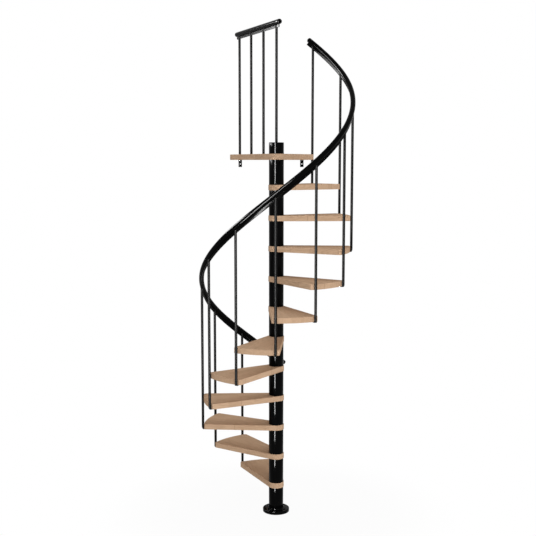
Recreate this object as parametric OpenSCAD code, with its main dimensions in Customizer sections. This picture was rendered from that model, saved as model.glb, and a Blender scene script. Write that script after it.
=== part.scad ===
// Spiral staircase: a steel centre column, wedge-shaped wooden treads, a wooden landing
// platform, a helical stair railing and a straight landing railing.
// Origin: centre of the base flange's underside. +Z is up. The stair climbs
// counter-clockwise seen from above. Millimetres, degrees.

/* [Overall] */
// Height from one tread top to the next
rise = 230; // [190:1:250]
// Height of the first tread's top above the floor
first_rise = 237; // [190:1:260]
// Radius of the circle the stair balusters stand on
baluster_circle_r = 566; // [480:1:760]
// Thickness of the treads
tread_t = 41; // [30:1:50]

/* [Column] */
// Outer diameter of the column tubes
column_d = 112; // [90:1:140]
// Wall of the column tubes
column_wall = 2.5; // [2:0.1:5]
// Height of the column above the platform, cap included
column_above = 84; // [60:1:140]
// Outer diameter of the core tube that clamps the stack
core_d = 42; // [30:1:60]
// Wall of the core tube
core_wall = 3; // [2:0.1:6]

/* [Base flange] */
// Diameter of the base flange
flange_d = 205; // [180:1:300]
// Thickness of the base flange
flange_t = 25; // [12:1:40]
// Pitch circle of the floor bolt holes
bolt_circle_d = 160; // [150:1:240]
// Diameter of the floor bolt holes
bolt_hole_d = 11; // [8:0.5:16]

/* [Treads] */
// How far the round wooden nose stands out past the column tubes
nose_proud = 4; // [2:0.5:20]
// How far a tread runs past the axis of the baluster at each outer corner
tread_overlap = 29; // [18:1:45]
// Rounding of the outer tread corners in plan
tread_corner_r = 16; // [4:1:20]

/* [Platform] */
// Thickness of the platform
platform_t = 44; // [30:1:60]
// How far the platform runs past the axis of the last stair baluster
platform_overlap = 22; // [18:1:45]
// Distance from the column axis to the platform's back edge
platform_back = 670; // [600:1:900]
// Direction of the landing railing in plan
landing_angle = 115.4; // [105:0.1:125]

/* [Stair railing] */
// Outer diameter of the balusters
baluster_d = 20; // [16:0.5:26]
// Wall of the balusters
baluster_wall = 1.5; // [1:0.1:3]
// Height of the rail strip's underside above the tread, at the tread's own baluster
rail_height = 1046; // [850:1:1100]
// Diameter of the round handrail
rail_d = 38; // [30:1:50]
// Thickness of the flat strip under the handrail
strip_t = 8; // [4:0.5:12]
// Height of the flat strips under the handrails
strip_h = 20; // [12:0.5:32]
// Direction of the handrail's lower end in plan
rail_start = 83; // [70:0.5:110]
// Turn of the handrail from its lower end to its upper end
rail_turn = 341.5; // [330:0.5:345]

/* [Landing railing] */
// Height of the landing rail strip's underside above the platform
landing_rail_height = 919; // [850:1:1050]
// Distance of the last baluster's axis from the platform's back edge
landing_post_inset = 34; // [20:1:80]
// How far the landing rail runs past its end balusters
landing_rail_over = 64; // [20:1:90]

/* [Landing brackets] */
// Width of the brackets under the platform's back edge
bracket_w = 28; // [20:1:50]
// Length of each bracket leg
bracket_leg = 58; // [50:1:90]
// Thickness of the bracket steel
bracket_t = 4; // [3:0.5:8]
// Diameter of the hole in the upright leg
bracket_hole_d = 9; // [6:0.5:13]
// Left bracket position along the back edge
bracket_left_x = -301; // [-330:1:-200]
// Right bracket position along the back edge
bracket_right_x = 203; // [150:1:225]

/* [Hidden] */
tread_count = 11;
step_angle = 30;
first_angle = 120;             // plan angle of the first baluster
fit = 0.3;                     // gap between curved faces that meet
slot_fit = 0.5;                // gap beside the strip in a baluster's slot
top_fit = 0.4;                 // gap between a baluster's top and the handrail
flange_floor_t = 6;            // steel left under the core tube
flange_edge_r = 5;
collar_h = 8;
collar_t = 6;
spacer_plate_t = 6;
cap_t = 8;
cap_edge_r = 3;
foot_t = 4;
foot_w = 16;
foot_reach = 42;               // from the baluster's axis towards the column
foot_shell = 2;                // wall of the rounded toe around the tube's end
toe_h = 26;                    // height of the rounded toe
foot_screw_inset = 28;
foot_screw_d = 5;
foot_screw_head_d = 9;
foot_screw_head_t = 2.5;
foot_screw_len = 30;
bracket_screw_pitch = 28;
bracket_screw_inset = 18;
bracket_hole_drop = 33;
rail_step = 3.1;               // plan angle of one handrail segment
rail_end_l = 13;               // length of a handrail's rounded end
rail_end_steps = 5;
strip_inset = 18;              // how far the strips stop short of the handrails' ends
outline_fn = 12;               // segments of a rounded tread corner
core_bore_d = core_d + 2*fit;
nose_r = column_d/2 + nose_proud;
toe_r = (pow(baluster_d/2, 2) + pow(toe_h, 2))/baluster_d;  // arc from the wall to the axis
tread_r = baluster_circle_r - baluster_d/2 - fit;
overlap_angle = asin(tread_overlap/tread_r);
platform_overlap_angle = asin(platform_overlap/tread_r);
platform_z = first_rise + rise*tread_count;
column_top_z = platform_z + column_above;
slope = atan(rise/(baluster_circle_r*step_angle*PI/180));
strip_top = -rail_d/2 - fit;                 // measured square to the rail, from its centre
strip_bottom = strip_top - strip_h;
baluster_top = -rail_d/2 - top_fit;
rail_centre_height = rail_height - strip_bottom/cos(slope);
rail_per_degree = baluster_circle_r*PI/180/cos(slope);     // length along the stair rail
rail_end = [for (i = [1:rail_end_steps - 1]) let (t = 90*i/rail_end_steps)
    [rail_end_l*(1 - cos(t)), sin(t)]];      // distance from the tip, share of the radius
landing_rail_z = platform_z + landing_rail_height - strip_bottom;
landing_run = (platform_back - landing_post_inset)/sin(landing_angle);
landing_posts = [for (i = [0:3]) landing_run*i/3];

function baluster_angle(k) = first_angle + step_angle*(k - 1);
function tread_top(k) = first_rise + rise*(k - 1);
function on_circle(r, a, n) = [for (i = [0:n]) r*[cos(a[0] + (a[1] - a[0])*i/n),
    sin(a[0] + (a[1] - a[0])*i/n)]];
function shifted(pts, c) = [for (p = pts) p + c];

// Angle between a straight tread side's normal and its outer corner, as the corner is rounded
corner_turn = acos((nose_r - tread_corner_r)/(tread_r - tread_corner_r));
side_turn = acos(nose_r/tread_r);

// Rounded outer corner between a straight side (normal at angle a) and the outer arc;
// dir is 1 on the lower side of the tread and -1 on its upper side
function outer_corner(a, dir) =
    let (g = a + dir*corner_turn, c = (tread_r - tread_corner_r)*[cos(g), sin(g)])
    shifted(on_circle(tread_corner_r, dir > 0 ? [a, g] : [g, a], outline_fn), c);

// Plan outline of a tread between two outer corner angles
function tread_outline(a1, a2) =
    let (n1 = a1 - side_turn, n2 = a2 + side_turn)
    concat(on_circle(nose_r, [n2, n1 + 360], 4*outline_fn), outer_corner(n1, 1),
        on_circle(tread_r, [n1 + corner_turn, n2 - corner_turn], 2*outline_fn),
        outer_corner(n2, -1));

// Plan outline of the landing platform: a tread's nose and nosing corner, then square
// back past the last baluster, along the back edge and down beside the landing railing
function platform_outline() =
    let (post = baluster_angle(tread_count) - 360,
        n1 = post - platform_overlap_angle - side_turn,
        a2 = post + platform_overlap_angle,
        n2 = landing_angle + 90,
        side_x = tread_r*cos(a2),
        back_left = (nose_r*cos(n2) - tan(landing_angle - 90)*(platform_back
            - nose_r*sin(n2))))
    concat(on_circle(nose_r, [n2, n1 + 360], 4*outline_fn), outer_corner(n1, 1),
        on_circle(tread_r, [n1 + corner_turn, a2], outline_fn),
        [[side_x, platform_back], [back_left, platform_back]]);

module tube(d, wall, h) {
    difference() {
        cylinder(d = d, h = h, $fn = 48);
        translate([0, 0, -1]) cylinder(d = d - 2*wall, h = h + 2, $fn = 48);
    }
}

module base_flange() {
    color([0.05, 0.05, 0.05])
    difference() {
        rotate_extrude($fn = 96)
            polygon(concat([[0, 0], [flange_d/2, 0]],
                shifted(on_circle(flange_edge_r, [0, 90], 5),
                    [flange_d/2 - flange_edge_r, flange_t - flange_edge_r]),
                [[column_d/2 + fit + collar_t, flange_t],
                 [column_d/2 + fit + collar_t/2, flange_t + collar_h],
                 [column_d/2 + fit, flange_t + collar_h], [column_d/2 + fit, flange_t],
                 [core_bore_d/2, flange_t], [core_bore_d/2, flange_floor_t],
                 [0, flange_floor_t]]));
        for (a = [45:90:315]) rotate([0, 0, a]) translate([bolt_circle_d/2, 0, -1])
            cylinder(d = bolt_hole_d, h = flange_t + 2, $fn = 32);
    }
}

module core_tube() {
    color([0.6, 0.6, 0.62])
    translate([0, 0, flange_floor_t])
        tube(core_d, core_wall, column_top_z - cap_t - flange_floor_t);
}

// One column tube with the inner plate that centres it on the core tube
module spacer(h) {
    rotate_extrude($fn = 96)
        polygon([[core_bore_d/2, 0], [column_d/2, 0], [column_d/2, h],
            [column_d/2 - column_wall, h], [column_d/2 - column_wall, spacer_plate_t],
            [core_bore_d/2, spacer_plate_t]]);
}

module column_spacers() {
    color([0.05, 0.05, 0.05]) {
        translate([0, 0, flange_t]) spacer(first_rise - tread_t - flange_t);
        for (k = [1:tread_count]) translate([0, 0, tread_top(k)])
            spacer(rise - (k == tread_count ? platform_t : tread_t));
    }
}

module column_top() {
    color([0.05, 0.05, 0.05])
    translate([0, 0, platform_z]) spacer(column_above - cap_t);
}

module column_cap() {
    color([0.05, 0.05, 0.05])
    translate([0, 0, column_top_z - cap_t])
        rotate_extrude($fn = 96)
            polygon(concat([[0, 0], [column_d/2, 0]],
                shifted(on_circle(cap_edge_r, [0, 90], 4),
                    [column_d/2 - cap_edge_r, cap_t - cap_edge_r]), [[0, cap_t]]));
}

module foot_screw_holes(k) {
    rotate([0, 0, baluster_angle(k)])
        translate([baluster_circle_r - foot_screw_inset, 0, tread_top(k) - tread_t - foot_t - 1])
            cylinder(d = foot_screw_d + 2*fit, h = foot_screw_len + 2, $fn = 24);
}

module tread(k) {
    color([0.74, 0.60, 0.47])
    difference() {
        translate([0, 0, tread_top(k) - tread_t]) linear_extrude(tread_t)
            polygon(tread_outline(baluster_angle(k - 1) - overlap_angle,
                baluster_angle(k) + overlap_angle));
        translate([0, 0, tread_top(k) - tread_t - 1])
            cylinder(d = core_bore_d, h = tread_t + 2, $fn = 48);
        foot_screw_holes(k);
    }
}

module platform() {
    color([0.74, 0.60, 0.47])
    difference() {
        translate([0, 0, platform_z - platform_t]) linear_extrude(platform_t)
            polygon(platform_outline());
        translate([0, 0, platform_z - platform_t - 1])
            cylinder(d = core_bore_d, h = platform_t + 2, $fn = 48);
        bracket_screw_holes();
    }
}

// Solid inside the rounded toe of a baluster's foot, drawn from the foot's underside
module inside_toe(r) {
    translate([baluster_d/2 - toe_r, 0, toe_h]) rotate([90, 0, 0])
        cylinder(r = r, h = 4*baluster_d, center = true, $fn = 96);
}

// Stair baluster: a tube that stands in its foot's toe, cut to the slope under the
// handrail and slotted over the strip
module baluster(k) {
    z0 = tread_top(k) - tread_t - foot_t;
    z_rail = tread_top(k) + rail_centre_height;
    reach = 4*baluster_d;
    color([0.07, 0.07, 0.07])
    rotate([0, 0, baluster_angle(k)]) translate([baluster_circle_r, 0, 0])
    difference() {
        translate([0, 0, z0 + foot_t])
            tube(baluster_d, baluster_wall, z_rail - z0 - foot_t + rail_d);
        translate([0, 0, z0]) difference() {
            translate([-baluster_d, -baluster_d, 0]) cube([2*baluster_d, 2*baluster_d, toe_h]);
            inside_toe(toe_r - foot_shell - fit);
        }
        translate([0, 0, z_rail]) rotate([slope, 0, 0]) {
            translate([-reach/2, -reach, baluster_top]) cube([reach, 2*reach, 2*reach]);
            translate([-strip_t/2 - slot_fit, -reach, strip_bottom - slot_fit])
                cube([strip_t + 2*slot_fit, 2*reach, 2*strip_h]);
        }
    }
}

// Foot of each baluster: a strap under the tread's corner and a rounded toe that closes
// the tube's lower end
module baluster_feet() {
    color([0.06, 0.06, 0.06])
    for (k = [1:tread_count]) rotate([0, 0, baluster_angle(k)])
        translate([baluster_circle_r, 0, tread_top(k) - tread_t - foot_t])
        difference() {
            union() {
                intersection() {
                    cylinder(d = baluster_d, h = toe_h, $fn = 48);
                    inside_toe(toe_r);
                }
                translate([-foot_reach, -foot_w/2, 0]) cube([foot_reach, foot_w, foot_t]);
            }
            intersection() {
                translate([-2*baluster_d, -baluster_d, foot_t])
                    cube([4*baluster_d, 2*baluster_d, toe_h]);
                inside_toe(toe_r - foot_shell);
            }
            translate([-foot_screw_inset, 0, -1])
                cylinder(d = foot_screw_d + 2*fit, h = foot_t + 2, $fn = 24);
        }
}

module screw() {
    translate([0, 0, -foot_screw_head_t])
        cylinder(d = foot_screw_head_d, h = foot_screw_head_t, $fn = 24);
    translate([0, 0, -foot_screw_head_t])
        cylinder(d = foot_screw_d, h = foot_screw_len + foot_screw_head_t, $fn = 24);
}

module foot_screws() {
    color([0.5, 0.5, 0.5])
    for (k = [1:tread_count]) rotate([0, 0, baluster_angle(k)])
        translate([baluster_circle_r - foot_screw_inset, 0, tread_top(k) - tread_t - foot_t])
            screw();
}

// Point of the stair rail at plan angle a: section point p is [outward, square to the rail]
function rail_point(a, p) =
    let (z = first_rise + rise*(a - first_angle)/step_angle + rail_centre_height)
    [(baluster_circle_r + p[0])*cos(a) + p[1]*sin(slope)*sin(a),
     (baluster_circle_r + p[0])*sin(a) - p[1]*sin(slope)*cos(a),
     z + p[1]*cos(slope)];

// Stations along the stair rail that stop a length short of both ends; a station is a plan
// angle and a share of the full section
function rail_stations(short) =
    let (turn = rail_turn - 2*short/rail_per_degree, n = round(turn/rail_step))
    [for (i = [0:n]) [rail_start + short/rail_per_degree + turn*i/n, 1]];

// The same stations with a rounded end added at each side
function rounded_stations() =
    let (e = [for (p = rail_end) [p[0]/rail_per_degree, p[1]]], last = len(e) - 1)
    concat([for (p = e) [rail_start + p[0], p[1]]], rail_stations(rail_end_l),
        [for (i = [last:-1:0]) [rail_start + rail_turn - e[i][0], e[i][1]]]);

// Sweeps a closed section along the stair rail through a list of stations
module rail_sweep(section, stations) {
    n = len(stations) - 1;
    m = len(section);
    points = [for (s = stations) for (p = section) rail_point(s[0], s[1]*p)];
    sides = [for (i = [0:n - 1]) for (j = [0:m - 1])
        let (a = i*m + j, b = i*m + (j + 1) % m)
        each [[a, b, b + m], [a, b + m, a + m]]];
    polyhedron(points = points, faces = concat(sides,
        [[for (j = [m - 1:-1:0]) j]], [[for (j = [0:m - 1]) n*m + j]]));
}

module stair_handrail() {
    color([0.02, 0.02, 0.02])
    rail_sweep([for (i = [0:23]) rail_d/2*[cos(-15*i), sin(-15*i)]], rounded_stations());
}

module stair_rail_strip() {
    color([0.04, 0.04, 0.04])
    rail_sweep([[-strip_t/2, strip_bottom], [-strip_t/2, strip_top],
        [strip_t/2, strip_top], [strip_t/2, strip_bottom]], rail_stations(strip_inset));
}

module landing_balusters() {
    color([0.07, 0.07, 0.07])
    for (r = landing_posts) rotate([0, 0, landing_angle]) translate([r, 0, 0])
    difference() {
        z0 = r == 0 ? column_top_z : platform_z;
        translate([0, 0, z0])
            tube(baluster_d, baluster_wall, landing_rail_z + baluster_top - z0);
        translate([-baluster_d, -strip_t/2 - slot_fit,
                landing_rail_z + strip_bottom - slot_fit])
            cube([2*baluster_d, strip_t + 2*slot_fit, 2*strip_h]);
    }
}

module landing_handrail() {
    color([0.02, 0.02, 0.02])
    rotate([0, 0, landing_angle]) translate([-landing_rail_over, 0, landing_rail_z])
        rotate([0, 90, 0])
            let (h = landing_run + 2*landing_rail_over, last = len(rail_end) - 1)
            rotate_extrude($fn = 48)
                polygon(concat([[0, rail_end[0][0]]],
                    [for (p = rail_end) [p[1]*rail_d/2, p[0]]],
                    [[rail_d/2, rail_end_l], [rail_d/2, h - rail_end_l]],
                    [for (i = [last:-1:0]) [rail_end[i][1]*rail_d/2, h - rail_end[i][0]]],
                    [[0, h - rail_end[0][0]]]));
}

module landing_rail_strip() {
    color([0.04, 0.04, 0.04])
    rotate([0, 0, landing_angle])
        translate([strip_inset - landing_rail_over, -strip_t/2,
                landing_rail_z + strip_bottom])
            cube([landing_run + 2*(landing_rail_over - strip_inset), strip_t, strip_h]);
}

module at_brackets() {
    for (x = [bracket_left_x, bracket_right_x])
        translate([x, platform_back, platform_z - platform_t]) children();
}

module bracket_screw_holes() {
    at_brackets() for (i = [0, 1])
        translate([0, -bracket_screw_inset - i*bracket_screw_pitch, -bracket_t - 1])
            cylinder(d = foot_screw_d + 2*fit, h = foot_screw_len + 2, $fn = 24);
}

module landing_brackets() {
    color([0.06, 0.06, 0.06])
    difference() {
        at_brackets() {
            translate([-bracket_w/2, -bracket_t, -bracket_leg])
                cube([bracket_w, bracket_t, bracket_leg]);
            translate([-bracket_w/2, -bracket_leg, -bracket_t])
                cube([bracket_w, bracket_leg, bracket_t]);
        }
        at_brackets() translate([0, 1, -bracket_hole_drop]) rotate([90, 0, 0])
            cylinder(d = bracket_hole_d, h = bracket_t + 2, $fn = 32);
        bracket_screw_holes();
    }
}

module bracket_screws() {
    color([0.5, 0.5, 0.5])
    at_brackets() for (i = [0, 1])
        translate([0, -bracket_screw_inset - i*bracket_screw_pitch, -bracket_t]) screw();
}

base_flange();
core_tube();
column_spacers();
column_top();
column_cap();
tread(1);  // tread_01
tread(2);  // tread_02
tread(3);  // tread_03
tread(4);  // tread_04
tread(5);  // tread_05
tread(6);  // tread_06
tread(7);  // tread_07
tread(8);  // tread_08
tread(9);  // tread_09
tread(10);  // tread_10
tread(11);  // tread_11
platform();
baluster(1);  // baluster_01
baluster(2);  // baluster_02
baluster(3);  // baluster_03
baluster(4);  // baluster_04
baluster(5);  // baluster_05
baluster(6);  // baluster_06
baluster(7);  // baluster_07
baluster(8);  // baluster_08
baluster(9);  // baluster_09
baluster(10);  // baluster_10
baluster(11);  // baluster_11
baluster_feet();
foot_screws();
stair_handrail();
stair_rail_strip();
landing_balusters();
landing_handrail();
landing_rail_strip();
landing_brackets();
bracket_screws();
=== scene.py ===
# %% [markdown]
# # A spiral staircase in black steel and pale wood
#
# A kit staircase of this kind is a stack: column tubes and wedge-shaped treads are
# threaded on a core, balusters tie the treads together, and one long round handrail
# climbs round the outside. The CAD model already holds every size. What follows gives
# it its finish: eased wooden boards with real grain, painted tubes with broken edges,
# a glossy handrail, and a plain studio to look at it in.

# %% Load the packed stair
import math

import bmesh
import bpy
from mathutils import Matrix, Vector


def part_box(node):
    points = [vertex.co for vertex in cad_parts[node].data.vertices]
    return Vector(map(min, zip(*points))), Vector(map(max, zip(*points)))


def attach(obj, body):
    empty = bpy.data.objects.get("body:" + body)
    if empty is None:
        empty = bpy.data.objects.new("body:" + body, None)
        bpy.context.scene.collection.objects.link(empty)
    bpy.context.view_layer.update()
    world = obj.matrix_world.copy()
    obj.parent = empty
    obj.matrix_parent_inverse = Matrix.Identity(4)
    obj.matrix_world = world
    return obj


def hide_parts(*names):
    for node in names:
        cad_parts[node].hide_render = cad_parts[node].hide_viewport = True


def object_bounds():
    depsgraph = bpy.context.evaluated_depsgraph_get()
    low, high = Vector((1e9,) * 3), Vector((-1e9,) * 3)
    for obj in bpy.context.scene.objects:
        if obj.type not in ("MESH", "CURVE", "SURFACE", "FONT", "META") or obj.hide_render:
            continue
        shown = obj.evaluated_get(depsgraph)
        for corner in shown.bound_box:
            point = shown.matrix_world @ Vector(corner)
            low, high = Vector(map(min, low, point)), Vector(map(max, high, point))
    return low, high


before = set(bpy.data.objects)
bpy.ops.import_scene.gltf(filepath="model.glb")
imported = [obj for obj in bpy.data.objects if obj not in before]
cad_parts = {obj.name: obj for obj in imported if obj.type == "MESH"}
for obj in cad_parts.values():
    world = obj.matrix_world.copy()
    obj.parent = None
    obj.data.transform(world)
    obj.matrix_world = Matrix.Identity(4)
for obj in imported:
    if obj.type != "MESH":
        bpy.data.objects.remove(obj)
cad_low, cad_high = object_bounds()
scene = bpy.context.scene
print(len(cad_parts), "CAD nodes, height", round(cad_high.z, 3), "m")

# %% [markdown]
# ## Read the rule of the stair from its boxes
#
# A spiral stair is one step, turned and lifted again and again. Rise and turn could be
# typed in, but then they could drift away from the CAD model. Comparing the boxes of
# the first two treads and the first two balusters gives the same numbers with no risk.

# %% Rise, turn and radii
def centre(node):
    """Middle of a CAD node's box."""
    low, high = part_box(node)
    return (low + high) / 2


def plan_angle(point):
    """Direction of a point seen from above, in radians from +X."""
    return math.atan2(point.y, point.x)


STEPS = 11
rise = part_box("tread_02")[1].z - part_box("tread_01")[1].z
turn = plan_angle(centre("baluster_02")) - plan_angle(centre("baluster_01"))
first_angle = plan_angle(centre("baluster_01"))
baluster_circle = centre("baluster_01").xy.length
slope = math.atan(rise / (baluster_circle * turn))
print("rise", round(rise, 4), "turn", round(math.degrees(turn), 2),
      "slope", round(math.degrees(slope), 1))

# %% [markdown]
# ## Camera
#
# The view is a catalogue view: from far in front, a little above the stair's middle,
# tipped down by seven degrees. A long lens keeps the column upright. The small vertical
# shift slides the picture on the sensor, which frames the stair with no extra tilt.

# %% Camera
SENSOR_WIDTH = 36
LENS = 63.07
LENS_SHIFT = 0.0171
CAMERA_PLACE = (0.0537, -7.0754, 2.7048)
TIPPED_DOWN = 6.983
SWUNG_LEFT = 0.943

camera_data = bpy.data.cameras.new("camera")
camera_data.sensor_width = SENSOR_WIDTH
camera_data.lens = LENS
camera_data.shift_y = LENS_SHIFT
camera = bpy.data.objects.new("camera", camera_data)
camera.location = CAMERA_PLACE
camera.rotation_euler = (math.radians(90 - TIPPED_DOWN), 0, math.radians(SWUNG_LEFT))
scene.collection.objects.link(camera)
scene.camera = camera
scene.view_settings.view_transform = "Standard"
print("camera", round(camera.location.length, 2), "m from the column's foot")

# %% [markdown]
# ## Nodes written as sums
#
# Both shaders and Geometry Nodes are graphs, and a graph written link by link is hard
# to read. A small class that wraps one socket lets Python's own signs add the Math
# nodes, so `1 - mask * 0.5` reads as what it does. Every other node comes from one
# method: its settings are set first, because they decide which sockets exist.

# %% The socket class
class Socket:
    """One output socket of a node tree, with arithmetic."""

    def __init__(self, tree, socket=None):
        self.tree = tree
        self.socket = socket

    def feed(self, target, value):
        """Links or sets one input socket."""
        if isinstance(value, Socket):
            self.tree.links.new(value.socket, target)
        else:
            target.default_value = value

    def node(self, kind, settings=(), inputs=(), output=0):
        """Adds a node, sets it up, fills its inputs and gives one of its outputs."""
        new = self.tree.nodes.new(kind)
        for name, value in dict(settings).items():
            setattr(new, name, value)
        for name, value in dict(inputs).items():
            self.feed(new.inputs[name], value)
        return Socket(self.tree, new.outputs[output] if new.outputs else None)

    def math(self, operation, *values):
        """A Math node on values that are sockets or numbers."""
        return self.node("ShaderNodeMath", {"operation": operation}, enumerate(values))

    def __add__(self, other):
        return self.math("ADD", self, other)

    def __sub__(self, other):
        return self.math("SUBTRACT", self, other)

    def __rsub__(self, other):
        return self.math("SUBTRACT", other, self)

    def __mul__(self, other):
        return self.math("MULTIPLY", self, other)

    def __truediv__(self, other):
        return self.math("DIVIDE", self, other)

    def __pow__(self, other):
        return self.math("POWER", self, other)

    __radd__ = __add__
    __rmul__ = __mul__

    def clamp(self):
        """Keeps the value between 0 and 1."""
        return self.node("ShaderNodeClamp", inputs={"Value": self})

    def vector(self, operation, other):
        """A Vector Math node on this vector and another."""
        return self.node("ShaderNodeVectorMath", {"operation": operation}, {0: self, 1: other})

    def split(self):
        """The three parts of a vector."""
        return [self.node("ShaderNodeSeparateXYZ", inputs={0: self}, output=i) for i in range(3)]

    def join(self, x, y, z):
        """A vector made of three values."""
        return self.node("ShaderNodeCombineXYZ", inputs={0: x, 1: y, 2: z})

    def step(self, low, high):
        """0 below low, 1 above high, and smooth between."""
        return self.node("ShaderNodeMapRange", {"interpolation_type": "SMOOTHSTEP"},
                         {"Value": self, "From Min": low, "From Max": high})

    def mix(self, a, b):
        """Colour a where this is 0, colour b where it is 1."""
        return self.node("ShaderNodeMix", {"data_type": "RGBA"}, {0: self, 6: a, 7: b}, 2)

    def noise(self, scale, detail=2.0):
        """Noise at this position, 0.5 on average."""
        return self.node("ShaderNodeTexNoise",
                         inputs={"Vector": self, "Scale": scale, "Detail": detail})


print("the socket class has", sum(callable(m) for m in vars(Socket).values()), "methods")

# %% [markdown]
# ## Studio
#
# The stair stands in a white catalogue space. The world is white only for rays that
# come from the camera, or that look for a reflection. Light that falls on the stair
# comes from a dimmer, even world and from large soft lamps, so colours stay as they
# are written.

# %% World
WHITE = (1, 1, 1, 1)
AMBIENT = 0.57


def looking(graph):
    """1 for rays from the camera, in reflections and through glass, or else 0."""
    return sum((graph.node("ShaderNodeLightPath", output=kind) for kind in
                ("Is Camera Ray", "Is Glossy Ray", "Is Transmission Ray")), 0).clamp()


def fresh(block):
    """An empty graph in a world or a material."""
    block.use_nodes = True
    block.node_tree.nodes.clear()
    return Socket(block.node_tree)


world = bpy.data.worlds.new("studio")
scene.world = world
graph = fresh(world)
backdrop = graph.node("ShaderNodeBackground", inputs={
    "Color": WHITE, "Strength": AMBIENT + (1 - AMBIENT) * looking(graph)})
graph.node("ShaderNodeOutputWorld", inputs={"Surface": backdrop})
print("ambient light", AMBIENT)

# %% [markdown]
# The floor is one large pale square. It has to stay white in the picture and still
# carry the stair's shadow. So the camera sees mostly plain white, with a share of
# lit floor that grows towards the stair, where the shadow lies.

# %% Floor
FLOOR_SIZE = 40
FLOOR_COLOUR = (0.8, 0.8, 0.8, 1)
LIT_SHARE = 0.05
SHADOW_REACH = 1.5


def new_object(name, mesh):
    """A mesh as an object in the scene, at the origin."""
    thing = bpy.data.objects.new(name, mesh)
    scene.collection.objects.link(thing)
    return thing


def flat_square(name, size):
    """A square on the ground, centred on the column."""
    mesh = bpy.data.meshes.new(name)
    half = size / 2
    mesh.from_pydata([(-half, -half, 0), (half, -half, 0), (half, half, 0), (-half, half, 0)],
                     [], [(0, 1, 2, 3)])
    return new_object(name, mesh)


floor = flat_square("floor", FLOOR_SIZE)
floor_paint = bpy.data.materials.new("floor_paint")
graph = fresh(floor_paint)
place = graph.node("ShaderNodeTexCoord", output="Object")
distance = graph.node("ShaderNodeVectorMath", {"operation": "LENGTH"}, {0: place}, "Value")
glow = looking(graph) * (1 - LIT_SHARE * (1 - distance.step(SHADOW_REACH / 2, SHADOW_REACH)))
lit = graph.node("ShaderNodeBsdfDiffuse", inputs={"Color": FLOOR_COLOUR})
plain = graph.node("ShaderNodeEmission", inputs={"Color": WHITE, "Strength": 1.0})
graph.node("ShaderNodeOutputMaterial", inputs={
    "Surface": graph.node("ShaderNodeMixShader", inputs={0: glow, 1: lit, 2: plain})})
floor.data.materials.append(floor_paint)
print("floor", FLOOR_SIZE, "m wide")

# %% [markdown]
# Four lamps. A large soft one in front lights the nosings, and a weaker one overhead
# lights the tops, so each board shows a bright edge under a calmer top. The other two
# are light panels that are there only to be reflected. The tall, narrow one stands on
# the floor and draws the thin bright line down the black column and along the tubes.
# The wide one hangs high up at the back and draws the line along the landing rail.

# %% Lamps
def lamp(name, place, aim, width, height, power, reflected=False):
    """A soft rectangular lamp that shines from place towards aim."""
    data = bpy.data.lights.new(name, "AREA")
    data.shape = "RECTANGLE"
    data.size, data.size_y = width, height
    data.energy = power
    light = bpy.data.objects.new(name, data)
    light.location = place
    light.rotation_euler = (Vector(aim) - Vector(place)).to_track_quat("-Z", "Y").to_euler()
    light.visible_camera = False
    light.visible_glossy = reflected
    light.visible_diffuse = not reflected
    scene.collection.objects.link(light)


PANEL_TURN = math.radians(270 - 19)
PANEL_REACH = 2.6
PANEL_HEIGHT = 5.0
middle = Vector((0, 0, cad_high.z / 2))
panel_foot = PANEL_REACH * Vector((math.cos(PANEL_TURN), math.sin(PANEL_TURN), 0))
panel_middle = Vector((0, 0, PANEL_HEIGHT / 2 + 0.01))

lamp("front_soft", (2.2, -6.1, 1.4), aim=middle, width=4, height=4, power=215)
lamp("overhead", (-0.5, 0.3, 6.4), aim=(0, 0, 0.5), width=3, height=3, power=50)
lamp("tall_panel", panel_foot + panel_middle, aim=panel_middle, width=0.52,
     height=PANEL_HEIGHT, power=2340, reflected=True)
lamp("high_panel", (-3.94, 0.69, 4.2), aim=(0, 0, 4.2), width=4.2, height=1.2, power=1350,
     reflected=True)

# %% [markdown]
# ## Wood
#
# The boards are glued up from staves with staggered butt joints and finished with matt
# oil. A picture of wood would repeat and stretch on the wedge shapes, so the grain is
# built from noise instead. Every board carries three attributes, made further down:
# `grain`, a position with X along the board, `grain_shift`, which makes each board its
# own, and `end_grain`, which is 1 on faces that are cut across the fibres. Noise
# squeezed along X gives fibres, and slices through a slower noise give the arched
# figure of flat-sawn wood. The wood's reflection is switched off. Even a weak one lets
# the strong light panels turn a top white where it is seen almost edge-on, and then the
# posts that stand on it seem to end in the air.

# %% Wood
STAVE_WIDTH = 0.068
STAVE_LENGTH = 0.46
SEAM = (0.0002, 0.0006)
FIGURE = (1.6, 11.0, 11.0)
RINGS_PER_FIGURE = 70.0
FIBRES = (9.0, 520.0, 520.0)
PORES = (55.0, 1100.0, 1100.0)
SAW_MARKS = (900.0, 900.0, 900.0)
STAVE_JUMP = (7.0, 3.0, 5.0)
GRAIN_DEPTH = 0.00012
WOOD_PALE = (0.650, 0.445, 0.296, 1)
WOOD_WARM = (0.485, 0.318, 0.202, 1)
WOOD_DARK = (0.27, 0.155, 0.092, 1)


def finish_node(graph, **inputs):
    """The main shader and the material's output."""
    names = {name.replace("_", " "): value for name, value in inputs.items()}
    shader = graph.node("ShaderNodeBsdfPrincipled", inputs=names)
    graph.node("ShaderNodeOutputMaterial", inputs={"Surface": shader})


def bump(graph, height, depth):
    """A normal tilted by a height between 0 and 1 that stands for depth metres."""
    return graph.node("ShaderNodeBump", inputs={
        "Height": height, "Distance": depth, "Strength": 1.0})


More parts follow.
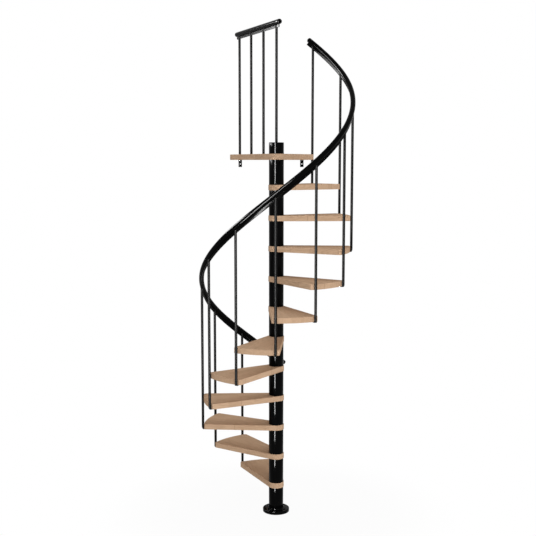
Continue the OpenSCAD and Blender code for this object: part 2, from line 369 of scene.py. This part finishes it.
def wood():
    """Oiled staves: rings and fibres along X, pores, seams and duller end grain."""
    material = bpy.data.materials.new("oiled_staves")
    graph = fresh(material)
    grain = graph.node("ShaderNodeAttribute", {"attribute_name": "grain"}, output="Vector")
    own_shift = graph.node("ShaderNodeAttribute", {"attribute_name": "grain_shift"},
                           output="Vector")
    grain = grain.vector("ADD", own_shift)
    end = graph.node("ShaderNodeAttribute", {"attribute_name": "end_grain"}, output="Fac")
    x, y, _ = grain.split()
    row = graph.math("FLOOR", y / STAVE_WIDTH)
    shift = graph.node("ShaderNodeTexWhiteNoise", {"noise_dimensions": "1D"},
                       {"W": row}, "Value")
    along = x / STAVE_LENGTH + shift
    cell = graph.join(graph.math("FLOOR", along), row, 0.0)
    luck = graph.node("ShaderNodeTexWhiteNoise", {"noise_dimensions": "3D"},
                      {"Vector": cell}, "Color")
    tone = luck.split()[0]
    own = grain.vector("ADD", luck.vector("MULTIPLY", STAVE_JUMP))
    arch = own.vector("MULTIPLY", FIGURE).noise(1.0, 1.5)
    rings = (graph.math("SINE", arch * RINGS_PER_FIGURE) * 0.5 + 0.5) ** 2.2
    fibres = own.vector("MULTIPLY", FIBRES).noise(1.0, 3.0)
    pores = own.vector("MULTIPLY", PORES).noise(1.0, 1.0).step(0.62, 0.74)
    cut = own.vector("MULTIPLY", SAW_MARKS).noise(1.0, 2.0)
    seam_y = graph.math("PINGPONG", y / STAVE_WIDTH, 0.5) * STAVE_WIDTH
    seam_x = graph.math("PINGPONG", along, 0.5) * STAVE_LENGTH
    seam = 1 - graph.math("MINIMUM", seam_y, seam_x).step(*SEAM)
    colour = (rings * 0.35 + tone * 0.45).mix(WOOD_PALE, WOOD_WARM)
    colour = (fibres.step(0.45, 0.75) * 0.30).mix(colour, WOOD_WARM)
    colour = (pores * 0.35 * (1 - end)).mix(colour, WOOD_DARK)
    colour = (end * (0.18 + 0.25 * cut)).mix(colour, WOOD_WARM)
    colour = (seam * 0.45).mix(colour, WOOD_DARK)
    height = fibres * 0.5 - pores * 0.5 - seam + end * cut * 0.5
    finish_node(graph, Base_Color=colour, Roughness=0.56 + 0.10 * fibres + 0.08 * end,
                Normal=bump(graph, height, GRAIN_DEPTH), Specular_IOR_Level=0.0)
    return material


WOOD = wood()
print("wood:", len(WOOD.node_tree.nodes), "nodes")

# %% [markdown]
# ## Black paint, steel and plastic
#
# Black needs care: with no reflections it is a hole, and with strong ones it turns
# grey. Each black is nearly the same dark colour, and what tells them apart is how
# sharply and how strongly they reflect. The column's gloss paint and the moulded
# plastic of the handrail are the smoothest, the flat strips are a little duller, and
# the tubes are a soft powder coat. The small brackets are smooth but reflect the least.

# %% Blacks and steel
PEEL_DEPTH = 0.0000006
PAINT_PEEL = 0.006
POWDER_PEEL = 0.002


def varied(factor, colour, darker, lighter):
    """A colour that moves between a darker and a lighter shade of itself."""
    return factor.mix([c * darker for c in colour] + [1], [c * lighter for c in colour] + [1])


def black(name, colour, rough, reflection, peel=PAINT_PEEL):
    """A dark coating: its roughness drifts a little and its skin is slightly uneven."""
    material = bpy.data.materials.new(name)
    graph = fresh(material)
    place = graph.node("ShaderNodeTexCoord", output="Object")
    drift = place.noise(9.0, 3.0)
    skin = place.noise(1 / peel, 1.5)
    shade = varied(drift, colour, 0.7, 1.3)
    finish_node(graph, Base_Color=shade, Roughness=rough * (0.85 + 0.3 * drift),
                Normal=bump(graph, skin, PEEL_DEPTH), Specular_IOR_Level=reflection)
    return material


STEEL_PATCHES = 260.0
STEEL_SKIN = 0.00002


def steel(name, colour, rough):
    """Bare zinc-plated steel with soft cloudy patches."""
    material = bpy.data.materials.new(name)
    graph = fresh(material)
    place = graph.node("ShaderNodeTexCoord", output="Object")
    cloud = place.noise(STEEL_PATCHES, 3.0)
    shade = varied(cloud, colour, 0.8, 1.1)
    finish_node(graph, Base_Color=shade, Roughness=rough * (0.8 + 0.4 * cloud),
                Normal=bump(graph, cloud, STEEL_SKIN), Metallic=1.0)
    return material


GLOSS = black("black_gloss_paint", (0.0020, 0.0020, 0.0021), rough=0.12, reflection=0.022)
SATIN = black("black_powder_coat", (0.0050, 0.0049, 0.0047), rough=0.48, reflection=0.020,
              peel=POWDER_PEEL)
STRIP = black("black_strip_paint", (0.0020, 0.0020, 0.0020), rough=0.20, reflection=0.016)
BRACKET = black("black_bracket_paint", (0.0022, 0.0022, 0.0022), rough=0.10, reflection=0.005)
PLASTIC = black("black_rail_plastic", (0.0018, 0.0018, 0.0018), rough=0.12, reflection=0.018)
SCREW = steel("zinc_screw", (0.50, 0.50, 0.51), rough=0.32)
CORE = steel("core_steel", (0.42, 0.42, 0.43), rough=0.45)
finishes = (GLOSS, SATIN, STRIP, BRACKET, PLASTIC, SCREW, CORE)
print("materials:", ", ".join(material.name for material in finishes))

# %% [markdown]
# ## From CAD solid to finished mesh
#
# A CAD mesh has mathematically sharp edges, and a sharp edge never catches light. Real
# steel is deburred and paint rounds its corners, so each part gets a small bevel. The
# CAD mesh itself stays as it is: a copy is merged, its flat triangles are dissolved
# into clean faces, the edges are beveled, and the copy stands in for the node.

# %% Helpers for finished pieces
MERGE = 0.00001
FLAT = math.radians(0.5)
SHARP = math.radians(32)
TURNED_EDGE = 0.0008
SHEET_EDGE = 0.0006
LID_EDGE = 0.0005
TUBE_EDGE = 0.0004
BODY = "root"


def shade_by_angle(mesh, degrees=40):
    """Smooth shading that stays crisp over edges sharper than the angle."""
    mesh.shade_smooth()
    mesh.set_sharp_from_angle(angle=math.radians(degrees))


def clean_copy(node):
    """A CAD node's mesh, merged and with its flat triangles dissolved."""
    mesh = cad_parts[node].data.copy()
    shape = bmesh.new()
    shape.from_mesh(mesh)
    bmesh.ops.remove_doubles(shape, verts=shape.verts, dist=MERGE)
    bmesh.ops.dissolve_limit(shape, angle_limit=FLAT, verts=shape.verts,
                             edges=shape.edges)
    shape.to_mesh(mesh)
    shape.free()
    return mesh


def applied(thing):
    """Turns an object's modifiers into a plain mesh and removes them."""
    graph = bpy.context.evaluated_depsgraph_get()
    mesh = bpy.data.meshes.new_from_object(
        thing.evaluated_get(graph), preserve_all_data_layers=True, depsgraph=graph)
    thing.modifiers.clear()
    thing.data = mesh
    return thing


def hand_over(piece, material, slot, *nodes):
    """Gives a finished piece its material and body and hides its CAD nodes; the slot is not
    used.
    """
    piece.data.materials.clear()
    piece.data.materials.append(material)
    piece.data.polygons.foreach_set("material_index", [0] * len(piece.data.polygons))
    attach(piece, BODY)
    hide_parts(*nodes)
    print(piece.name, len(piece.data.polygons), "faces")
    return piece


def beveled(mesh, width):
    """The same mesh with its sharp edges broken."""
    carrier = new_object("carrier", mesh)
    edge = carrier.modifiers.new("edge", "BEVEL")
    edge.width = width
    edge.segments = 2
    edge.limit_method = "ANGLE"
    edge.angle_limit = SHARP
    result = applied(carrier).data
    bpy.data.objects.remove(carrier)
    return result


def polished(node, name, bevel, material, slot):
    """A CAD node's copy with broken edges."""
    piece = new_object(name, beveled(clean_copy(node), bevel))
    shade_by_angle(piece.data, 45)
    return hand_over(piece, material, slot, node)


print("edges sharper than", round(math.degrees(SHARP)), "degrees are broken")

# %% [markdown]
# ## Column, flange and brackets
#
# These are turned parts, sawn tubes and bent steel. Their CAD shapes are complete, and
# all they lack is the broken edge: most on the heavy turned parts, a little less on the
# bent brackets, and least on the thin walls of the tubes.

# %% Column, cap and flange
polished("column_spacers", "column_tubes", TURNED_EDGE, GLOSS, "black_metal")
polished("column_top", "column_head", TURNED_EDGE, GLOSS, "black_metal")
polished("column_cap", "column_lid", LID_EDGE, GLOSS, "black_metal")
polished("base_flange", "floor_flange", TURNED_EDGE, GLOSS, "black_metal")
polished("landing_brackets", "angle_brackets", SHEET_EDGE, BRACKET, "black_metal")
polished("landing_balusters", "landing_tubes", TUBE_EDGE, SATIN, "black_satin")

# %% [markdown]
# ## One tree for everything that climbs
#
# Treads, balusters, feet and screws all follow one rule: the same part, turned by one
# step and lifted by one rise. Geometry Nodes say this once. The tree takes the part as
# it lies at the first step, marks where its grain runs, sets copies on a vertical row
# of points, turns each by its number, and makes the copies real mesh at the end.
# Each copy also gets its own random shift of the grain, so no two boards look alike.

# %% The climbing tree
END_GRAIN = (0.55, 0.85)
LOG_REACH = 3.0


def tree_inputs(tree, sizes):
    """Adds the group's geometry socket and its named sizes."""
    add = tree.interface.new_socket
    add("Geometry", in_out="INPUT", socket_type="NodeSocketGeometry")
    for name, kind in sizes:
        add(name, in_out="INPUT", socket_type="NodeSocket" + kind)
    add("Geometry", in_out="OUTPUT", socket_type="NodeSocketGeometry")
    group = tree.nodes.new("NodeGroupInput")
    return {socket.name: Socket(tree, socket) for socket in group.outputs if socket.name}


def tree_output(graph, geometry, material):
    """Ends a tree: real mesh, with its material."""
    real = graph.node("GeometryNodeRealizeInstances", inputs={"Geometry": geometry})
    painted = graph.node("GeometryNodeSetMaterial",
                         inputs={"Geometry": real, "Material": material})
    graph.node("NodeGroupOutput", inputs={"Geometry": painted})


def store(graph, geometry, name, value, kind, domain):
    """Keeps a value on the mesh under a name."""
    return graph.node("GeometryNodeStoreNamedAttribute",
                      {"data_type": kind, "domain": domain},
                      {"Geometry": geometry, "Name": name, "Value": value})


def climbing_tree():
    """The tree that turns and lifts a part, once for every step."""
    tree = bpy.data.node_groups.new("climb", "GeometryNodeTree")
    given = tree_inputs(tree, [("First step", "Int"), ("Count", "Int"), ("Rise", "Float"),
                               ("Turn", "Float"), ("Grain turn", "Float"), ("Seed", "Int"),
                               ("Material", "Material")])
    graph = Socket(tree)
    back = graph.join(0.0, 0.0, given["Grain turn"] * -1.0)
    turned = {"rotation_type": "EULER_XYZ"}
    spot = graph.node("GeometryNodeInputPosition")
    facing = graph.node("GeometryNodeInputNormal")
    grain = graph.node("ShaderNodeVectorRotate", turned, {"Vector": spot, "Rotation": back})
    along = graph.node("ShaderNodeVectorRotate", turned, {"Vector": facing, "Rotation": back})
    end = graph.math("ABSOLUTE", along.split()[0]).step(*END_GRAIN)
    part = store(graph, given["Geometry"], "grain", grain, "FLOAT_VECTOR", "POINT")
    part = store(graph, part, "end_grain", end, "FLOAT", "FACE")
    foot = graph.join(0.0, 0.0, given["First step"] * given["Rise"])
    row = graph.node("GeometryNodeMeshLine", inputs={
        "Count": given["Count"], "Start Location": foot,
        "Offset": graph.join(0.0, 0.0, given["Rise"])})
    number = given["First step"] + graph.node("GeometryNodeInputIndex")
    way = graph.node("FunctionNodeEulerToRotation",
                     inputs={"Euler": graph.join(0.0, 0.0, number * given["Turn"])})
    copies = graph.node("GeometryNodeInstanceOnPoints",
                        inputs={"Points": row, "Instance": part, "Rotation": way})
    luck = graph.node("FunctionNodeRandomValue", {"data_type": "FLOAT_VECTOR"}, {
        "Min": (-LOG_REACH,) * 3, "Max": (LOG_REACH,) * 3, "ID": number,
        "Seed": given["Seed"]})
    copies = store(graph, copies, "grain_shift", luck, "FLOAT_VECTOR", "INSTANCE")
    tree_output(graph, copies, given["Material"])
    return tree


def grown(name, tree, start, values):
    """Runs a tree on a starting mesh and keeps the result as a plain object."""
    piece = new_object(name, start)
    modifier = piece.modifiers.new("grow", "NODES")
    modifier.node_group = tree
    for item in tree.interface.items_tree:
        if item.in_out == "INPUT" and item.name in values:
            modifier[item.identifier] = values[item.name]
    return applied(piece)


CLIMB = climbing_tree()
print("climbing tree:", len(CLIMB.nodes), "nodes")

# %% [markdown]
# ## Boards
#
# A tread is a flat board with a round nose, two straight sides and rounded outer
# corners. Its outline is read from the top of the CAD tread, so it can't be wrong.
# Joiners ease every long edge with a small round. The board is built in rings: the top
# face, rings that roll over the edge, the upright side, and the same again below. One
# extra ring close to each roll keeps the flat faces flat when they are shaded smooth.

# %% Board helpers
EASE = 0.0030
EASE_STEPS = 4
HOLD = 0.0008
LEAST_LEAN = 0.3


def top_outline(node):
    """Outer edge of a CAD board's flat top, counter-clockwise."""
    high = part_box(node)[1].z
    shape = bmesh.new()
    shape.from_mesh(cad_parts[node].data)
    bmesh.ops.remove_doubles(shape, verts=shape.verts, dist=MERGE)
    flat = [f for f in shape.faces if f.calc_center_median().z > high - 10 * MERGE]
    top = set(flat)
    following = {}
    for face in flat:
        for loop in face.loops:
            if not any(f in top for f in loop.edge.link_faces if f is not face):
                following[loop.vert] = loop.link_loop_next.vert
    outlines = []
    while following:
        vert, after = following.popitem()
        line = [vert.co.xy.copy()]
        while after in following:
            line.append(after.co.xy.copy())
            after = following.pop(after)
        outlines.append(line)
    shape.free()
    return max(outlines, key=len)


def inset(outline, depth):
    """The outline moved inwards by a depth, and no further than sharp corners allow."""
    moved = []
    for i, point in enumerate(outline):
        before = (point - outline[i - 1]).normalized()
        after = (outline[(i + 1) % len(outline)] - point).normalized()
        inward = Vector((-before.y - after.y, before.x + after.x)).normalized()
        lean = max(LEAST_LEAN, inward.dot(Vector((-before.y, before.x))))
        moved.append(point + inward * depth / lean)
    return moved


def board_mesh(name, outline, bottom, top):
    """A board with eased edges, as a closed mesh."""
    roll = [math.pi / 2 * i / EASE_STEPS for i in range(EASE_STEPS + 1)]
    over = [(EASE + HOLD, 0)] + [(EASE * (1 - math.sin(a)), EASE * (1 - math.cos(a)))
                                 for a in roll] + [(0, EASE + HOLD)]
    rings = [(depth, top - down) for depth, down in over]
    rings += [(depth, bottom + up) for depth, up in reversed(over)]
    points = [(p.x, p.y, z) for depth, z in rings for p in inset(outline, depth)]
    n = len(outline)
    faces = [list(range(n)), list(range(len(points) - 1, len(points) - n - 1, -1))]
    for i in range(len(rings) - 1):
        for j in range(n):
            k = (j + 1) % n
            faces.append([(i + 1) * n + j, (i + 1) * n + k, i * n + k, i * n + j])
    mesh = bpy.data.meshes.new(name)
    mesh.from_pydata(points, [], faces)
    shade_by_angle(mesh)
    return mesh


def climbing_values(first, count, material, grain_turn=0.0, seed=4):
    """Inputs of the climbing tree for this stair."""
    return {"First step": first, "Count": count, "Rise": rise, "Turn": turn,
            "Grain turn": grain_turn, "Seed": seed, "Material": material}


print("edges eased by", 1000 * EASE, "mm")

# %% [markdown]
# ## Treads and landing
#
# All eleven treads are the same board, so one outline serves them all, and the tree
# lifts and turns each to its own step. They stay separate pieces, as they are on the
# real stair, where each board is lifted over the core by itself. The landing is a board
# of its own shape. Its grain runs straight back from the column.

# %% Treads and landing
tread_low, tread_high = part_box("tread_01")
tread_edge = top_outline("tread_01")
tread_middle = first_angle - turn / 2
for step in range(STEPS):
    blank = board_mesh("tread_blank", tread_edge, tread_low.z, tread_high.z)
    tread = grown(f"tread_board_{step + 1:02d}", CLIMB, blank,
                  climbing_values(step, 1, WOOD, tread_middle))
    hand_over(tread, WOOD, "wood", f"tread_{step + 1:02d}")

deck_low, deck_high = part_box("platform")
deck_blank = board_mesh("deck_blank", top_outline("platform"), deck_low.z, deck_high.z)
deck = grown("landing_board", CLIMB, deck_blank,
             climbing_values(0, 1, WOOD, math.pi / 2, seed=9))
hand_over(deck, WOOD, "wood", "platform")

# %% [markdown]
# ## Balusters and their feet
#
# Each baluster is a tube whose head is cut to the slope of the rail and slotted over
# the strip. At the bottom it stands in a small foot with a rounded toe. The first of
# each is cleaned and beveled once; the climbing tree makes the other ten.

# %% Balusters
tube = beveled(clean_copy("baluster_01"), TUBE_EDGE)
for step in range(STEPS):
    baluster = grown(f"baluster_tube_{step + 1:02d}", CLIMB, tube.copy(),
                     climbing_values(step, 1, SATIN))
    shade_by_angle(baluster.data)
    hand_over(baluster, SATIN, "black_satin", f"baluster_{step + 1:02d}")


def first_of(node, height):
    """The lowest copy in a node that repeats: all that lies below a height."""
    mesh = clean_copy(node)
    shape = bmesh.new()
    shape.from_mesh(mesh)
    bmesh.ops.delete(shape, geom=[v for v in shape.verts if v.co.z > height], context="VERTS")
    shape.to_mesh(mesh)
    shape.free()
    return mesh


foot = beveled(first_of("baluster_feet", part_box("baluster_feet")[0].z + rise / 2), SHEET_EDGE)
feet = grown("baluster_toes", CLIMB, foot, climbing_values(0, STEPS, SATIN))
shade_by_angle(feet.data)
hand_over(feet, SATIN, "black_satin", "baluster_feet")

# %% [markdown]
# ## Screws
#
# Pan-head screws hold the feet and the brackets. A screw head is turned on a lathe, so
# it is made the same way: a short profile spun round an axis. The socket in the head
# is a hexagon, which is a circle whose radius grows towards six corners.

# %% Screws
HEAD_RADIUS = 0.0045
HEAD_HEIGHT = 0.0025
SOCKET_RADIUS = 0.0016
SEGMENTS = 24


def hexagon(angle):
    """How far a hexagon reaches, against its flats' distance."""
    sixth = math.pi / 3
    return 1 / math.cos((angle + sixth / 2) % sixth - sixth / 2)


def screw_mesh():
    """A screw head that faces down, with its seat at height 0."""
    head = [(0.5, 0), (1, 0.08), (1, 0.5), (0.9, 0.85), (0.7, 1)]
    socket = [(1, 1), (1, 0.3), (0.1, 0.2)]
    profile = [(HEAD_RADIUS * out, down, False) for out, down in head]
    profile += [(SOCKET_RADIUS * out, down, True) for out, down in socket]
    points, faces = [], []
    for radius, down, six in profile:
        for i in range(SEGMENTS):
            angle = 2 * math.pi * i / SEGMENTS
            reach = radius * (hexagon(angle) if six else 1)
            points.append((reach * math.cos(angle), reach * math.sin(angle),
                           -HEAD_HEIGHT * down))
    for ring in range(len(profile) - 1):
        for i in range(SEGMENTS):
            j = (i + 1) % SEGMENTS
            a, b = ring * SEGMENTS, (ring + 1) * SEGMENTS
            faces.append([a + i, b + i, b + j, a + j])
    faces.append(list(range(SEGMENTS)))
    faces.append(list(range(len(points) - 1, len(points) - SEGMENTS - 1, -1)))
    mesh = bpy.data.meshes.new("screw")
    mesh.from_pydata(points, [], faces)
    return mesh


def placed(mesh, spots):
    """One mesh that holds a copy at each spot."""
    shape = bmesh.new()
    for spot in spots:
        start = len(shape.verts)
        shape.from_mesh(mesh)
        shape.verts.ensure_lookup_table()
        bmesh.ops.translate(shape, vec=spot, verts=shape.verts[start:])
    bmesh.ops.recalc_face_normals(shape, faces=shape.faces)
    joined = bpy.data.meshes.new("screws")
    shape.to_mesh(joined)
    shape.free()
    return joined


screws_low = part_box("foot_screws")[0]
screw_circle = -screws_low.x - HEAD_RADIUS
first_screw = Vector((screw_circle * math.cos(first_angle),
                      screw_circle * math.sin(first_angle), screws_low.z + HEAD_HEIGHT))
foot_screws = grown("foot_screw_heads", CLIMB, placed(screw_mesh(), [first_screw]),
                    climbing_values(0, STEPS, SCREW))
shade_by_angle(foot_screws.data, 35)
hand_over(foot_screws, SCREW, "screw_steel", "foot_screws")

low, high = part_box("bracket_screws")
spots = [Vector((x, y, low.z + HEAD_HEIGHT)) for x in (low.x + HEAD_RADIUS, high.x - HEAD_RADIUS)
         for y in (low.y + HEAD_RADIUS, high.y - HEAD_RADIUS)]
bracket_screws = new_object("bracket_screw_heads", placed(screw_mesh(), spots))
shade_by_angle(bracket_screws.data, 35)
hand_over(bracket_screws, SCREW, "screw_steel", "bracket_screws")

# %% [markdown]
# ## Handrails and strips: a section swept along a line
#
# The handrail is the stair's finest line, a long helix, and its shape follows a rule:
# a round section carried along a path. The flat strip under it is the same rule with
# another section, and the straight rail of the landing is the same again on another
# path. So one tree makes all four. It places its rings along the path, closer together
# at both ends, where the section shrinks to a rounded nose.

# %% The sweeping tree
def sweeping_tree():
    """The tree that carries a rounded section along a line, with a nose at each end."""
    tree = bpy.data.node_groups.new("sweep", "GeometryNodeTree")
    given = tree_inputs(tree, [("Width", "Float"), ("Height", "Float"), ("Corner", "Float"),
                               ("Corner steps", "Int"), ("Rings", "Int"),
                               ("End steps", "Int"), ("End length", "Float"),
                               ("End rounding", "Float"), ("Material", "Material")])
    graph = Socket(tree)
    path = graph.node("GeometryNodeMeshToCurve", inputs={"Mesh": given["Geometry"]})
    length = graph.node("GeometryNodeCurveLength", inputs={"Curve": path})
    nose, steps = given["End length"], given["End steps"]
    total = given["Rings"] + steps * 2.0
    number = graph.node("GeometryNodeInputIndex")
    quarter = math.pi / 2
    rising = (number / steps).clamp() * quarter
    falling = ((total - number) / steps).clamp() * quarter
    middle = ((number - steps) / given["Rings"]).clamp() * (length - nose * 2.0)
    reach = nose * (1 - graph.math("COSINE", rising)) + middle + nose * graph.math(
        "COSINE", falling)
    full = graph.math("SINE", rising) * graph.math("SINE", falling)
    size = 1 - given["End rounding"] * (1 - full)
    place = graph.node("GeometryNodeSampleCurve", {"mode": "LENGTH"},
                       {"Curves": path, "Length": reach}, "Position")
    line = graph.node("GeometryNodeMeshLine", inputs={"Count": total + 1.0})
    line = graph.node("GeometryNodeSetPosition", inputs={"Geometry": line, "Position": place})
    line = graph.node("GeometryNodeMeshToCurve", inputs={"Mesh": line})
    line = graph.node("GeometryNodeSetCurveNormal", {"mode": "Z_UP"}, {"Curve": line})
    section = graph.node("GeometryNodeCurvePrimitiveQuadrilateral",
                         inputs={"Width": given["Width"], "Height": given["Height"]})
    section = graph.node("GeometryNodeFilletCurve", {"mode": "POLY"}, {
        "Curve": section, "Count": given["Corner steps"], "Radius": given["Corner"],
        "Limit Radius": True})
    bar = graph.node("GeometryNodeCurveToMesh", inputs={
        "Curve": line, "Profile Curve": section, "Scale": size, "Fill Caps": True})
    bar = graph.node("GeometryNodeMergeByDistance",
                     inputs={"Geometry": bar, "Distance": MERGE})
    tree_output(graph, bar, given["Material"])
    return tree


SWEEP = sweeping_tree()
print("sweeping tree:", len(SWEEP.nodes), "nodes")

# %% [markdown]
# The paths are measured on the CAD rails, not typed in. The rail turns almost once
# round the stair, so the one wide gap in the directions of its points shows where it
# starts and ends. Each strip runs square below its rail and stops short of both ends.

# %% Paths
rail_radius = (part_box("landing_handrail")[1].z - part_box("landing_handrail")[0].z) / 2
strip_low, strip_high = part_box("landing_rail_strip")
strip_height = strip_high.z - strip_low.z
strip_gap = centre("landing_handrail").z - rail_radius - strip_high.z
STRIP_THICKNESS = 0.008
STRIP_INSET = 0.018
PATH_POINTS = 240


def gap_between(angles):
    """Start and size of the widest gap in a set of directions."""
    angles = sorted(angles)
    following = angles[1:] + [angles[0] + 2 * math.pi]
    size, start = max((b - a, a) for a, b in zip(angles, following))
    return start, size


def climbed(point, middle, height):
    """How far along the helix a point lies, counted from the rail's middle."""
    guess = middle + (point.z - height) / rise * turn
    angle = plan_angle(point)
    angle += 2 * math.pi * round((guess - angle) / (2 * math.pi))
    return ((angle - middle) * baluster_circle * math.cos(slope)
            + (point.z - height) * math.sin(slope))


rail_points = [v.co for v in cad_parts["stair_handrail"].data.vertices]
gap_start, gap_size = gap_between({plan_angle(p) for p in rail_points})
rail_middle = gap_start + gap_size / 2 - math.pi
rail_middle_height = centre("stair_handrail").z
rail_reach = max(climbed(p, rail_middle, rail_middle_height) for p in rail_points)
print("handrail", round(2 * rail_reach, 3), "m long, turning",
      round(math.degrees(2 * rail_reach * math.cos(slope) / baluster_circle), 1), "degrees")


def helix(drop, short):
    """Line of the stair rail, or a line square below it that stops short of both ends."""
    points = []
    for i in range(PATH_POINTS + 1):
        reach = (rail_reach - short) * (2 * i / PATH_POINTS - 1)
        angle = rail_middle + reach * math.cos(slope) / baluster_circle
        out = Vector((math.cos(angle), math.sin(angle), 0))
        forward = Vector((-out.y, out.x, 0))
        height = rail_middle_height + reach * math.sin(slope) - drop * math.cos(slope)
        points.append(out * baluster_circle + forward * drop * math.sin(slope)
                      + Vector((0, 0, height)))
    return points


def straight(drop, short):
    """Line of the landing rail, or a line below it that stops short of both ends."""
    low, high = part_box("landing_balusters")
    tube_radius = high.x
    way = Vector((low.x + tube_radius, high.y - tube_radius, 0)).normalized()
    reaches = [way.dot(v.co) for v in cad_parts["landing_handrail"].data.vertices]
    height = Vector((0, 0, centre("landing_handrail").z - drop))
    return [way * reach + height for reach in (min(reaches) + short, max(reaches) - short)]


def swept(name, points, node, material, slot, **values):
    """A section carried along points by the sweeping tree."""
    path = bpy.data.meshes.new(name)
    path.from_pydata(points, [(i, i + 1) for i in range(len(points) - 1)], [])
    values = {key.replace("_", " "): value for key, value in values.items()}
    piece = grown(name, SWEEP, path, values | {"Material": material})
    shade_by_angle(piece.data)
    return hand_over(piece, material, slot, node)


# %% [markdown]
# The handrail's section is a square whose corners are rounded until it is a circle,
# and its ends close in a short round nose, as on a moulded end cap. The strip is a
# narrow upright bar with just its edges broken.

# %% Rails
HELIX_RINGS = 280
STRAIGHT_RINGS = 24
ROUND_SECTION = {"Width": 2 * rail_radius, "Height": 2 * rail_radius,
                 "Corner": rail_radius * 0.9999, "Corner_steps": 9, "End_steps": 8,
                 "End_length": 0.013, "End_rounding": 1.0}
FLAT_SECTION = {"Width": STRIP_THICKNESS, "Height": strip_height, "Corner": 0.0012,
                "Corner_steps": 3, "End_steps": 3, "End_length": 0.001, "End_rounding": 0.12}
strip_drop = rail_radius + strip_gap + strip_height / 2
swept("handrail", helix(0, 0), "stair_handrail", PLASTIC, "rail_plastic",
      Rings=HELIX_RINGS, **ROUND_SECTION)
swept("handrail_strip", helix(strip_drop, STRIP_INSET), "stair_rail_strip", STRIP,
      "black_metal", Rings=HELIX_RINGS, **FLAT_SECTION)
swept("landing_rail", straight(0, 0), "landing_handrail", PLASTIC, "rail_plastic",
      Rings=STRAIGHT_RINGS, **ROUND_SECTION)
swept("landing_strip", straight(strip_drop, STRIP_INSET), "landing_rail_strip", STRIP,
      "black_metal", Rings=STRAIGHT_RINGS, **FLAT_SECTION)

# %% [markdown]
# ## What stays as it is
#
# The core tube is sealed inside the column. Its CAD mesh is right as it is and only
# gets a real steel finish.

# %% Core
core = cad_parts["core_tube"]
core.data.materials.clear()
core.data.materials.append(CORE)
